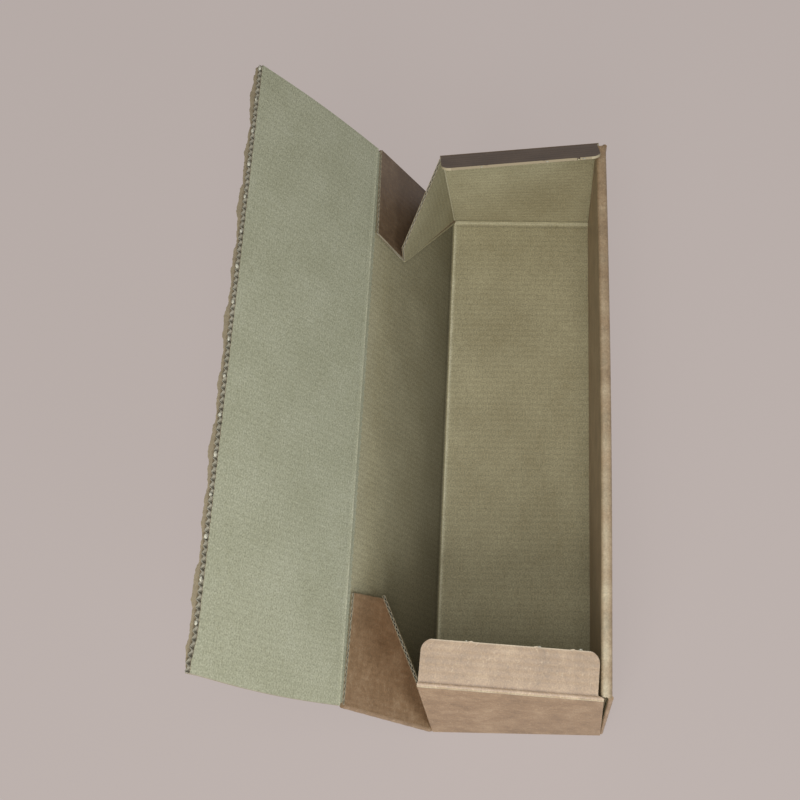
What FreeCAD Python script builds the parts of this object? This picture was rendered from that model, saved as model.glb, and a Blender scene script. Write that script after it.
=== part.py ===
import FreeCAD, Part
import math
import os

from FreeCAD import Matrix, Vector

# The box lies on its floor with its length along Y.
# The origin is the middle of the underside of the floor.
# X points to the double wall, Y to the far end and Z up.

# Board
board = 1.5                # thickness of the corrugated board
facing = 0.25              # thickness of each flat facing paper
flute_pitch = 3.6          # length of one wave of the fluting
flute_web_side = 0.25      # land left beside each wave at the facing
flute_web_tip = 0.15       # paper left over the tip of each wave
pressed_board = 1.2        # board squeezed flat inside the double wall
layer_gap = 0.1            # air between two layers that lie on each other
bead_radius = 0.9          # raised bead of a creased fold

# Box
box_width = 94.0
box_length = 328.0
wall_height = 93.0
double_wall = 5.8          # whole thickness of the rolled over right wall
foot_gap = 0.3             # air under the foot of the rolled over panel

# Open pose
side_lean = 27.3           # degrees that the left wall leans out
lid_lean = 35.1            # degrees that the lid leans out
near_left_in = 8.8         # how far the near wall's top left corner leans in
near_right_in = 3.3
far_left_in = 10.6
far_right_in = 0.6
near_left_out = 2.65       # how far that corner is pushed out sideways
far_left_out = 3.5
right_tuck = 4.4           # how far an end wall's top right corner is tucked in

# Lid
lid_width = 96.5
lid_strip = 2.2            # crushed strip beside the lid's crease
hinge_gap = 0.3            # air between the lid's bead and the left wall
lip_width = 3.6            # outer facing torn off beyond the cut edge
lip_wave = 1.1
nick_pitch = 20.2          # torn bridges of the perforated edge
first_nick = 21.4
nick_width = 2.6
nick_reach = 0.8

# End flaps
flap_reach = 22.6
flap_corner = 6.0
near_flap_rise = 10.0      # degrees above level
far_flap_rise = 37.5
near_flap_inset = 3.0
far_flap_inset = 1.2
flap_left_inset = 0.4

# Corner webs
web_top = 91.2             # upper cut edge, measured along the fold from the floor
web_top_depth = 57.5
web_fold = 61.0            # where the diagonal fold ends
web_tip_up = 77.0          # blunt tip of the half that hangs on the end wall
web_tip_in = 56.0
web_lift = 1.0             # degrees that a web lifts off the left wall

left = -box_width / 2
right = box_width / 2
near = -box_length / 2
far = box_length / 2
half = board / 2


def unit(vector):
    """The same direction with length one."""
    return vector / vector.Length


def lean_axes(lean):
    """Direction up a panel that leans to the left, and its inward normal."""
    angle = math.radians(lean)
    up = Vector(-math.sin(angle), 0, math.cos(angle))
    inward = Vector(math.cos(angle), 0, math.sin(angle))
    return up, inward


def placed(shape, origin, x_axis, y_axis, z_axis):
    """The shape moved from its own axes to the given ones."""
    matrix = Matrix(
        x_axis.x, y_axis.x, z_axis.x, origin.x,
        x_axis.y, y_axis.y, z_axis.y, origin.y,
        x_axis.z, y_axis.z, z_axis.z, origin.z,
        0, 0, 0, 1,
    )
    moved = shape.copy()
    moved.Placement = FreeCAD.Placement(matrix)
    return moved


def fused(shapes):
    """One clean solid out of shapes that touch or overlap."""
    body = shapes[0].fuse(shapes[1:])
    body = body.removeSplitter()
    if len(body.Solids) != 1:
        raise ValueError("the shapes do not join to one solid: %d" % len(body.Solids))
    return body.Solids[0]


def slab(corners, thickness):
    """A flat plate of the given thickness about the corners' plane."""
    face = Part.Face(Part.makePolygon(corners + corners[:1]))
    normal = face.normalAt(0, 0)
    face.translate(normal * (-thickness / 2))
    return face.extrude(normal * thickness)


def rod(start, end, radius):
    """A round bead from start to end."""
    return Part.makeCylinder(radius, (end - start).Length, start, end - start)


def ridge(start, end, radius, side):
    """A six sided bead from start to end, with a corner turned to the side."""
    along = unit(end - start)
    first = unit(side - along * side.dot(along))
    second = along.cross(first)
    corners = []
    for i in range(6):
        angle = math.radians(60 * i)
        corners.append(start + first * (radius * math.cos(angle))
                       + second * (radius * math.sin(angle)))
    face = Part.Face(Part.makePolygon(corners + corners[:1]))
    return face.extrude(end - start)


def strip_face(points, thickness):
    """A strip of board bent along a path in XZ, rounded outside each fold."""
    h = thickness / 2
    directions = [unit(b - a) for a, b in zip(points, points[1:])]
    normals = [Vector(-d.z, 0, d.x) for d in directions]

    def side(sign):
        """Edges along one side of the path, in the order of the path."""
        edges = []
        last = points[0] + normals[0] * (h * sign)
        for i in range(1, len(points) - 1):
            a, b = directions[i - 1], directions[i]
            turn = a.z * b.x - a.x * b.z
            before = points[i] + normals[i - 1] * (h * sign)
            after = points[i] + normals[i] * (h * sign)
            if turn * sign > 0:
                middle = points[i] + unit(normals[i - 1] + normals[i]) * (h * sign)
                edges.append(Part.makeLine(last, before))
                edges.append(Part.Arc(before, middle, after).toShape())
                last = after
            else:
                bisector = unit(normals[i - 1] + normals[i])
                reach = h / bisector.dot(normals[i])
                corner = points[i] + bisector * (reach * sign)
                edges.append(Part.makeLine(last, corner))
                last = corner
        end = points[-1] + normals[-1] * (h * sign)
        edges.append(Part.makeLine(last, end))
        return edges, end

    upper, upper_end = side(1)
    lower, lower_end = side(-1)
    ends = [
        Part.makeLine(upper_end, lower_end),
        Part.makeLine(points[0] + normals[0] * h, points[0] - normals[0] * h),
    ]
    wire = Part.Wire(Part.__sortEdges__(upper + lower + ends))
    return Part.Face(wire)


def fluted_board(run, across):
    """Corrugated board: X along the flutes, Y across them, Z through the board."""
    core = half - facing
    outline = Part.makePolygon([
        Vector(0, 0, -half), Vector(0, across, -half),
        Vector(0, across, half), Vector(0, 0, half), Vector(0, 0, -half),
    ])
    waves = int((across - 1.0) / flute_pitch)
    start = (across - waves * flute_pitch) / 2
    holes = []
    for i in range(waves):
        y = start + i * flute_pitch
        holes.append([
            Vector(0, y + flute_web_side, core),
            Vector(0, y + flute_pitch - flute_web_side, core),
            Vector(0, y + flute_pitch / 2, -core + flute_web_tip),
        ])
        if i:
            holes.append([
                Vector(0, y - flute_pitch / 2 + flute_web_side, -core),
                Vector(0, y + flute_pitch / 2 - flute_web_side, -core),
                Vector(0, y, core - flute_web_tip),
            ])
    wires = [Part.makePolygon(hole + hole[:1]) for hole in holes]
    face = Part.makeFace([outline] + wires, "Part::FaceMakerBullseye")
    return face.extrude(Vector(run, 0, 0))


def hinge_point():
    """The middle of the board at the lid's crease, in the XZ plane."""
    up, inward = lean_axes(side_lean)
    return Vector(left, 0, 0) + up * wall_height + inward * half


def main_strip():
    """Left wall, floor, right wall, its narrow top and the panel rolled over."""
    up, inward = lean_axes(side_lean)
    slide = half * (1 - inward.z) / up.z
    fold = Vector(left, 0, 0) + inward * half + up * slide
    inner = right - double_wall + half
    path = [
        hinge_point() - up * (bead_radius + hinge_gap),
        fold,
        Vector(right - half, 0, half),
        Vector(right - half, 0, wall_height - half),
        Vector(inner, 0, wall_height - half),
        Vector(inner, 0, board + foot_gap),
    ]
    face = strip_face(path, board)
    face.translate(Vector(0, near - 2, 0))
    body = face.extrude(Vector(0, box_length + 4, 0))
    return body.common(loaf())


def loaf():
    """Outline of the box seen from the right, with rounded lower corners."""
    top = wall_height + 5
    start = [
        Vector(0, near, top), Vector(0, near, half),
        Vector(0, near + half, 0), Vector(0, far - half, 0),
        Vector(0, far, half), Vector(0, far, top),
    ]
    bend = half * (1 - math.sqrt(0.5))
    edges = [
        Part.makeLine(start[0], start[1]),
        Part.Arc(start[1], Vector(0, near + bend, bend), start[2]).toShape(),
        Part.makeLine(start[2], start[3]),
        Part.Arc(start[3], Vector(0, far - bend, bend), start[4]).toShape(),
        Part.makeLine(start[4], start[5]),
        Part.makeLine(start[5], start[0]),
    ]
    face = Part.Face(Part.Wire(edges))
    face.translate(Vector(left - 80, 0, 0))
    return face.extrude(Vector(box_width + 160, 0, 0))


def right_end_cutter(x_from, x_to, z_from, z_to, end, lean_in, back):
    """Wedge that trims the right wall's end to the lean of the end wall."""
    sign = 1 if end == near else -1
    slope = lean_in / wall_height

    def edge(z):
        return end + sign * (back + slope * z)

    outside = end - sign * 5
    corners = [
        Vector(x_from, outside, z_from), Vector(x_from, edge(z_from), z_from),
        Vector(x_from, edge(z_to), z_to), Vector(x_from, outside, z_to),
    ]
    face = Part.Face(Part.makePolygon(corners + corners[:1]))
    return face.extrude(Vector(x_to - x_from, 0, 0))


def trimmed_strip():
    """The main strip with its wall ends set back to where the corners fold."""
    body = main_strip()
    top = wall_height + 2
    cutters = []
    for end, lean_in in ((near, near_right_in), (far, far_right_in)):
        cutters.append(right_end_cutter(
            right - double_wall - 0.5, right + 1, board, top, end, lean_in, 0.0))
        cutters.append(right_end_cutter(
            right - board - 0.05, right + 1, 3.0, top, end, lean_in, board))
        cutters.append(right_end_cutter(
            right - double_wall - 0.5, right - double_wall + board + 0.1,
            board, wall_height - board - 0.4, end, lean_in, board + 0.35))
        sign = 1 if end == near else -1
        y_low = min(end - sign * 5, end + sign * board)
        cutters.append(Part.makeBox(
            80, 5 + board, wall_height + 5, Vector(left - 80.6, y_low, 2.5)))
    return body.cut(cutters)


def end_corners(end):
    """Outer corners of an end wall, its inward normal and the top direction."""
    sign = 1 if end == near else -1
    left_in, right_in, left_out = (
        (near_left_in, near_right_in, near_left_out) if end == near
        else (far_left_in, far_right_in, far_left_out))
    left_z = math.sqrt(wall_height ** 2 - left_in ** 2 - left_out ** 2)
    right_z = math.sqrt(wall_height ** 2 - right_in ** 2 - right_tuck ** 2)
    top_left = Vector(left - left_out, end + sign * left_in, left_z)
    top_right = Vector(right - right_tuck, end + sign * right_in, right_z)
    along = unit(top_right - top_left)
    return sign, top_left, top_right, along


def top_normals(end):
    """Inward normals of an end wall at its two top corners."""
    sign, top_left, top_right, along = end_corners(end)
    low_left = Vector(left, end, 0)
    low_right = Vector(right, end, 0)
    normals = []
    for top, low in ((top_left, low_left), (top_right, low_right)):
        normal = unit(along.cross(top - low))
        normals.append(normal if normal.y * sign > 0 else normal * -1)
    return normals


def end_wall(end):
    """An end wall, twisted because its two top corners lean differently."""
    sign, top_left, top_right, along = end_corners(end)
    left_normal, right_normal = top_normals(end)
    step = Vector(0, sign * board, 0)
    low = [Vector(left, end, board), Vector(right, end, board)]
    low += [low[1] + step, low[0] + step]
    high = [top_left, top_right, top_right + right_normal * board,
            top_left + left_normal * board]
    faces = [Part.Face(Part.makePolygon(low + low[:1]))]
    faces.append(Part.makeRuledSurface(
        Part.makeLine(high[0], high[1]), Part.makeLine(high[3], high[2])))
    for i in range(4):
        j = (i + 1) % 4
        faces.append(Part.makeRuledSurface(
            Part.makeLine(low[i], low[j]), Part.makeLine(high[i], high[j])))
    shell = Part.makeShell(faces)
    shell.sewShape()
    return Part.makeSolid(shell)


def flap_outline(width, reach):
    """Flap in its own plane: rounded free corners and small torn bridges."""
    r = flap_corner
    bend = r * (1 - math.sqrt(0.5))
    edges = [
        Part.makeLine(Vector(0, 0, 0), Vector(width, 0, 0)),
        Part.makeLine(Vector(width, 0, 0), Vector(width, reach - r, 0)),
        Part.Arc(Vector(width, reach - r, 0), Vector(width - bend, reach - bend, 0),
                 Vector(width - r, reach, 0)).toShape(),
        Part.makeLine(Vector(width - r, reach, 0), Vector(r, reach, 0)),
        Part.Arc(Vector(r, reach, 0), Vector(bend, reach - bend, 0),
                 Vector(0, reach - r, 0)).toShape(),
        Part.makeLine(Vector(0, reach - r, 0), Vector(0, 0, 0)),
    ]
    return Part.Face(Part.Wire(edges))


def end_flap(end, rise, right_inset):
    """The flap on top of an end wall, folded in over the box, with its crease."""
    sign, top_left, top_right, along = end_corners(end)
    left_normal, right_normal = top_normals(end)
    start = top_left + left_normal * half
    stop = top_right + right_normal * half
    along = unit(stop - start)
    width = (stop - start).Length - flap_left_inset - right_inset
    level = Vector(0, sign, 0) - along * (Vector(0, sign, 0).dot(along))
    level = unit(level)
    upward = along.cross(level)
    upward = upward if upward.z > 0 else upward * -1
    angle = math.radians(rise)
    outward = level * math.cos(angle) + upward * math.sin(angle)
    plate = flap_outline(width, flap_reach)
    plate.translate(Vector(0, 0, -half))
    plate = plate.extrude(Vector(0, 0, board))
    nicks = []
    for share in (0.25, 0.66, 0.89):
        nicks.append(Part.makeBox(
            nick_width, nick_reach + 0.5, board * 0.7,
            Vector(width * share, flap_reach - 0.5, -board * 0.35)))
    plate = plate.fuse(nicks)
    normal = along.cross(outward)
    body = placed(plate, start + along * flap_left_inset, along, outward, normal)
    bead = ridge(start + along * 0.3, stop - along * 0.3, bead_radius + 0.1,
                 level + upward * 1.4)
    return [body, bead]


def left_corner(end):
    """The web at a left corner: one half on the left wall, one on the end wall."""
    sign, top_left, top_right, along = end_corners(end)
    up, inward = lean_axes(side_lean)
    corner = Vector(left, end, 0) + inward * half
    lift = math.radians(web_lift)
    depth = Vector(0, sign * math.cos(lift), 0) + inward * math.sin(lift)
    normal = unit(up.cross(depth))
    lying = corner + inward * (board + layer_gap)

    def on_web(u, v):
        return lying + up * u + depth * v

    run = web_top
    plate = fluted_board(run, web_fold + 1.0)
    plate = placed(plate, lying, up, depth, normal)
    outline = [
        on_web(2.5, 1.5), on_web(web_top - 0.01, 1.5),
        on_web(web_top - 0.7, web_top_depth), on_web(web_fold, web_fold),
    ]
    lying_half = plate.common(slab(outline, board * 3))

    left_normal = top_normals(end)[0]
    foot = Vector(left, end, 0) + Vector(half, sign * half, half)
    top = top_left + left_normal * half + along * half
    rising = unit(top - foot)
    tip = on_web(web_fold, web_fold)
    across = (tip - foot) - rising * ((tip - foot).dot(rising))
    across = unit(across)
    height = (top - foot).Length
    hanging = [
        foot + rising * 2.0, foot + rising * (height - 0.6),
        foot + rising * web_tip_up + across * web_tip_in, tip,
    ]
    hanging_half = slab(hanging, board)

    middle = inward * ((board + layer_gap) / 2)
    fold_radius = board + layer_gap / 2 + 0.05
    fold_start = corner + middle + Vector(0, sign * board, 0)
    beads = [
        rod(fold_start + up * 3.2, fold_start + up * (web_top - 0.3), fold_radius),
        rod(foot + (tip - foot) * 0.04, tip - (tip - foot) * 0.005, bead_radius),
        rod(foot + rising * 1.6, foot + rising * (height - 0.8), bead_radius),
    ]
    return [lying_half, hanging_half] + beads


def right_corner(end):
    """The web at a right corner, folded flat and held inside the double wall."""
    sign = 1 if end == near else -1
    lean_in = near_right_in if end == near else far_right_in
    slope = math.atan2(lean_in, wall_height)
    up = Vector(0, sign * math.sin(slope), math.cos(slope))
    depth = Vector(0, sign * math.cos(slope), -math.sin(slope))
    first = right - board - layer_gap - pressed_board / 2
    second = first - pressed_board - layer_gap
    height = wall_height - board - 1.2

    def point(x, u, v):
        return Vector(x, end, 0) + up * u + depth * v

    lying_half = slab([
        point(first, 3.0, board), point(first, height, board),
        point(first, height, web_top_depth), point(first, web_fold, web_fold),
    ], pressed_board)
    hanging_half = slab([
        point(second, 3.0, 1.0), point(second, height, 1.0),
        point(second, web_tip_up, web_tip_in), point(second, web_fold, web_fold),
    ], pressed_board)
    between = (first + second) / 2
    diagonal = rod(point(between, 4.0, 4.0), point(between, web_fold, web_fold),
                   pressed_board)
    low = Vector(right - 0.2, end + sign * 1.1, 0.9)
    high = Vector(right - 1.75, end + sign * (lean_in + 1.9), wall_height - 1.0)
    nose = Part.makeCone(0.85, 1.95, (high - low).Length, low, high - low)
    return [lying_half, hanging_half, diagonal, nose]


def tray():
    """The whole folded sheet except the lid."""
    shapes = [trimmed_strip()]
    for end in (near, far):
        shapes.append(end_wall(end))
        shapes += left_corner(end)
        shapes += right_corner(end)
    shapes += end_flap(near, near_flap_rise, near_flap_inset)
    shapes += end_flap(far, far_flap_rise, far_flap_inset)
    return fused(shapes)


def lip():
    """Outer facing torn off in a wavy line beyond the cut edge of the lid."""
    corners = [Vector(lid_width - 1.0, 0, 0)]
    steps = 82
    for i in range(steps + 1):
        y = box_length * i / steps
        wave = math.sin(y * 0.19) + 0.6 * math.sin(y * 0.53 + 1.3)
        reach = lip_width + lip_wave * wave * 0.62
        if i in (0, steps):
            reach = 0.8
        corners.append(Vector(lid_width + reach, y, 0))
    corners.append(Vector(lid_width - 1.0, box_length, 0))
    face = Part.Face(Part.makePolygon(corners + corners[:1]))
    face.translate(Vector(0, 0, half - facing))
    return face.extrude(Vector(0, 0, facing))


def lid():
    """The lid in its open pose: fluted panel, bead, torn lip and torn bridges."""
    panel = fluted_board(lid_width - lid_strip, box_length)
    panel.translate(Vector(lid_strip, 0, 0))
    strip = Part.makeBox(lid_strip, box_length, board, Vector(0, 0, -half))
    bead = rod(Vector(0, 0, 0), Vector(0, box_length, 0), bead_radius)
    shapes = [panel, strip, bead, lip()]
    y = first_nick
    while y < box_length - nick_width:
        shapes.append(Part.makeBox(
            nick_reach + 0.5, nick_width, board - facing - 0.2,
            Vector(lid_width - 0.5, y - nick_width / 2, -half + 0.1)))
        y += nick_pitch
    body = fused(shapes)
    up, inward = lean_axes(lid_lean)
    origin = hinge_point() + Vector(0, near, 0)
    return placed(body, origin, up, Vector(0, 1, 0), inward * -1)


os.makedirs("parts", exist_ok=True)
tray().exportStep("parts/tray.step")
lid().exportStep("parts/lid.step")
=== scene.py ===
"""Dresses the open shipping box: corrugated board, webs, flaps and the torn lid edge.

Every shape is worked out in millimetres in the model's own frame (origin in the middle
of the floor, X to the double wall, Y along the box, Z up) and meshed in metres.
"""

import logging
import math
from dataclasses import dataclass, field
from enum import Enum, IntEnum

import bpy
import numpy as np
from mathutils import Matrix


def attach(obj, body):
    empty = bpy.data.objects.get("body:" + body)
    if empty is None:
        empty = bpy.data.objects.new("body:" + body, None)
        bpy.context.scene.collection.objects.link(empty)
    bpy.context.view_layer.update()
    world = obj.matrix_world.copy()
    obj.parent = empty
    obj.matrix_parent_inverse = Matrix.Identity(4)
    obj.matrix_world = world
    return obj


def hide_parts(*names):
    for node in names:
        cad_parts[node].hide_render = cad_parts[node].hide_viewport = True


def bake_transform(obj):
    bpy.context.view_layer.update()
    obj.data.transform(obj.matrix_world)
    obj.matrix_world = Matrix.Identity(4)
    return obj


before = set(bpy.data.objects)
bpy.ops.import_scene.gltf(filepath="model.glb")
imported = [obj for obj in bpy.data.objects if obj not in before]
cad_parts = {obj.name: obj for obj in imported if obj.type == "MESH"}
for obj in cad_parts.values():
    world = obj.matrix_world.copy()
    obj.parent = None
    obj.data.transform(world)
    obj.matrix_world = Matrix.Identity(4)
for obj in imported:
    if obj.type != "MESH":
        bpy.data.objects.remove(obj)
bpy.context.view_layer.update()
LOG = logging.getLogger("shipping_box")
MM_PER_METRE = (1000.0, 1000.0, 1000.0)
Grid = np.ndarray
Piece = bpy.types.Object
Papers = list[bpy.types.Material]
Tree = bpy.types.NodeTree
Socket = bpy.types.NodeSocket


class Body(Enum):
    """The two moving parts of the sheet and the slot that each one is painted from."""

    TRAY = ("tray", "tray_board")
    LID = ("lid", "lid_board")


class Side(IntEnum):
    """Material slots that every board mesh carries, in this order."""

    INNER = 0
    OUTER = 1
    CUT = 2
    WAVES = 3
    MEDIUM = 4
    TORN = 5


# ---------------------------------------------------------------- sizes


@dataclass(frozen=True)
class BoxSizes:
    """Sizes of the folded sheet in millimetres and degrees, as in the model."""

    board: float = 1.5
    facing: float = 0.25
    medium_half: float = 0.19
    flute_pitch: float = 3.6
    layer_gap: float = 0.1
    width: float = 94.0
    length: float = 328.0
    height: float = 93.0
    double_wall: float = 5.8
    side_lean: float = 27.3
    lid_lean: float = 35.1
    lid_width: float = 96.5
    flap_reach: float = 22.6
    flap_corner: float = 6.0
    web_top: float = 91.2
    web_top_depth: float = 57.5
    web_fold: float = 61.0
    web_tip_up: float = 77.0
    web_tip_in: float = 56.0

    @property
    def half(self) -> float:
        """Half the thickness of the board."""
        return self.board / 2

    @property
    def left(self) -> float:
        """X of the floor's left edge."""
        return -self.width / 2

    @property
    def right(self) -> float:
        """X of the outer right wall."""
        return self.width / 2


@dataclass(frozen=True)
class EndSizes:
    """What differs between the near and the far end of the box."""

    name: str
    sign: int
    left_in: float
    right_in: float
    left_out: float
    flap_rise: float
    flap_inset: float
    right_tuck: float = 4.4
    flap_left_inset: float = 0.4

    def y(self, box: BoxSizes) -> float:
        """Y of the end of the floor."""
        return -self.sign * box.length / 2


BOX = BoxSizes()
NEAR = EndSizes("near", 1, 8.8, 3.3, 2.65, 10.0, 3.0)
FAR = EndSizes("far", -1, 10.6, 0.6, 3.5, 37.5, 1.2)


# ---------------------------------------------------------------- vectors and paths


def unit(vectors: Grid) -> Grid:
    """The same directions with length one."""
    return vectors / np.linalg.norm(vectors, axis=-1, keepdims=True)


def joined(*parts: Grid | float) -> Grid:
    """Arrays and numbers, spread to one shape and set side by side on a last axis."""
    return np.stack(np.broadcast_arrays(*parts), axis=-1)


def lean_axes(lean: float) -> tuple[Grid, Grid]:
    """Direction up a panel that leans to the left, and its inward normal.

    Args:
        lean: degrees from upright.

    Returns:
        The two unit vectors.
    """
    angle = math.radians(lean)
    up = np.array([-math.sin(angle), 0.0, math.cos(angle)])
    inward = np.array([math.cos(angle), 0.0, math.sin(angle)])
    return up, inward


def smooth(values: Grid, low: float, high: float) -> Grid:
    """Rises from 0 at low to 1 at high along a cubic with level ends."""
    share = np.clip((values - low) / (high - low), 0.0, 1.0)
    return share * share * (3.0 - 2.0 * share)


def bump(values: Grid, centre: float, width: float) -> Grid:
    """A bell of height one: e to the minus square of the distance over the width."""
    return np.exp(-(((values - centre) / width) ** 2))


def bells(values: Grid, *parts: tuple[float, float, float]) -> Grid:
    """The sum of bells, each given as its height, centre and width."""
    return sum(height * bump(values, centre, width) for height, centre, width in parts)


def ragged(values: Grid, waves: tuple[tuple[float, float, float], ...]) -> Grid:
    """A torn line: the sum of sines, each given as height, wavelength and phase."""
    table = np.array(waves)
    angle = 2 * math.pi * values[..., None] / table[:, 1] + table[:, 2]
    return (table[:, 0] * np.sin(angle)).sum(axis=-1)


def run_shares(length: float, spacing: float) -> Grid:
    """Sample places on a straight run, from 0 to 1, denser towards both folds.

    Args:
        length: the run in millimetres.
        spacing: the widest step.

    Returns:
        Increasing shares of the run, with 0 and 1.
    """
    fine = np.array([0.0, 0.25, 0.5, 0.8, 1.2, 1.7, 2.4, 3.4, 5.0, 7.5])
    fine = fine[(fine < length / 2.3) & (fine < spacing * 1.2)]
    low, high = fine[-1], length - fine[-1]
    count = max(2, int(math.ceil((high - low) / spacing)) + 1)
    middle = np.linspace(low, high, count)[1:-1]
    return np.concatenate([fine, middle, (length - fine)[::-1]]) / length


@dataclass
class FoldedPath:
    """Points along a bent path, how far along each one is, and where its folds are."""

    points: Grid
    along: Grid
    folds: list[float]


def folded_path(corners: Grid, radii: list[float], spacing: float) -> FoldedPath:
    """A path with a round arc at each inner corner.

    An arc of radius r that turns by an angle starts r tan(angle / 2) before the corner,
    and its point at angle a is the start plus r sin a along the run and r (1 - cos a)
    across it. The corners may be arrays, so that one call bends a whole fan of paths.

    Args:
        corners: (..., corners, 3) corner points.
        radii: radius at each inner corner.
        spacing: widest step on the straight runs.

    Returns:
        The path, with points as (..., samples, 3).
    """
    runs = np.diff(corners, axis=-2)
    lengths = np.linalg.norm(runs, axis=-1)
    along = runs / lengths[..., None]
    turns = np.arccos(np.clip((along[..., :-1, :] * along[..., 1:, :]).sum(-1), -1, 1))
    trims = np.array(radii) * np.tan(turns / 2)
    zero = np.zeros(lengths.shape[:-1] + (1,))
    before = np.concatenate([zero, trims], axis=-1)
    after = np.concatenate([trims, zero], axis=-1)
    points, places, folds, travelled = [], [], [], 0.0
    for i in range(len(radii) + 1):
        straight = lengths[..., i] - before[..., i] - after[..., i]
        shares = run_shares(float(straight.mean()), spacing)
        reach = before[..., i, None] + shares * straight[..., None]
        points.append(corners[..., i, None, :]
                      + along[..., i, None, :] * reach[..., None])
        places.append(travelled + shares * float(straight.mean()))
        travelled += float(straight.mean())
        if i == len(radii):
            break
        a, b, turn = along[..., i, :], along[..., i + 1, :], turns[..., i]
        across = unit(b - a * np.cos(turn)[..., None])
        angle = np.linspace(0, 1, 9)[1:-1] * turn[..., None]
        start = corners[..., i + 1, :] - a * trims[..., i, None]
        points.append(start[..., None, :] + radii[i] * (
            np.sin(angle)[..., None] * a[..., None, :]
            + (1 - np.cos(angle))[..., None] * across[..., None, :]))
        arc = radii[i] * float(turn.mean())
        places.append(travelled + arc * np.linspace(0, 1, 9)[1:-1])
        folds.append(travelled + arc / 2)
        travelled += arc
    return FoldedPath(np.concatenate(points, axis=-2), np.concatenate(places), folds)


def surface_normals(grid: Grid, towards: Grid) -> Grid:
    """Unit normals of a grid, from the cross product of its two directions.

    Args:
        grid: (rows, columns, 3) points.
        towards: direction that the normals lean to, one vector or one per point.

    Returns:
        (rows, columns, 3) normals.
    """
    cross = unit(np.cross(np.gradient(grid, axis=0), np.gradient(grid, axis=1)))
    return cross * (1.0 if (cross * towards).sum() > 0 else -1.0)


# ---------------------------------------------------------------- meshes


def place(name: str, data: bpy.types.ID) -> Piece:
    """Puts a new object with the given data in the scene."""
    piece = bpy.data.objects.new(name, data)
    bpy.context.scene.collection.objects.link(piece)
    return piece


# Millimetres into the paper's endless pattern at which each piece starts.
PAPER_STARTS = {
    "near_end_wall_and_flap": 411.0, "far_end_wall_and_flap": 733.0,
    "near_left_web_on_wall": 157.0, "far_left_web_on_wall": 291.0,
    "near_left_web_on_end": 219.0, "far_left_web_on_end": 353.0,
    "near_left_web_folds": 87.0, "far_left_web_folds": 87.0,
    "near_right_corner_fold": 503.0, "far_right_corner_fold": 617.0,
    "lid_panel": 29.0, "lid_crease_skin": 29.0, "lid_torn_bridges": 61.0,
}


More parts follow.
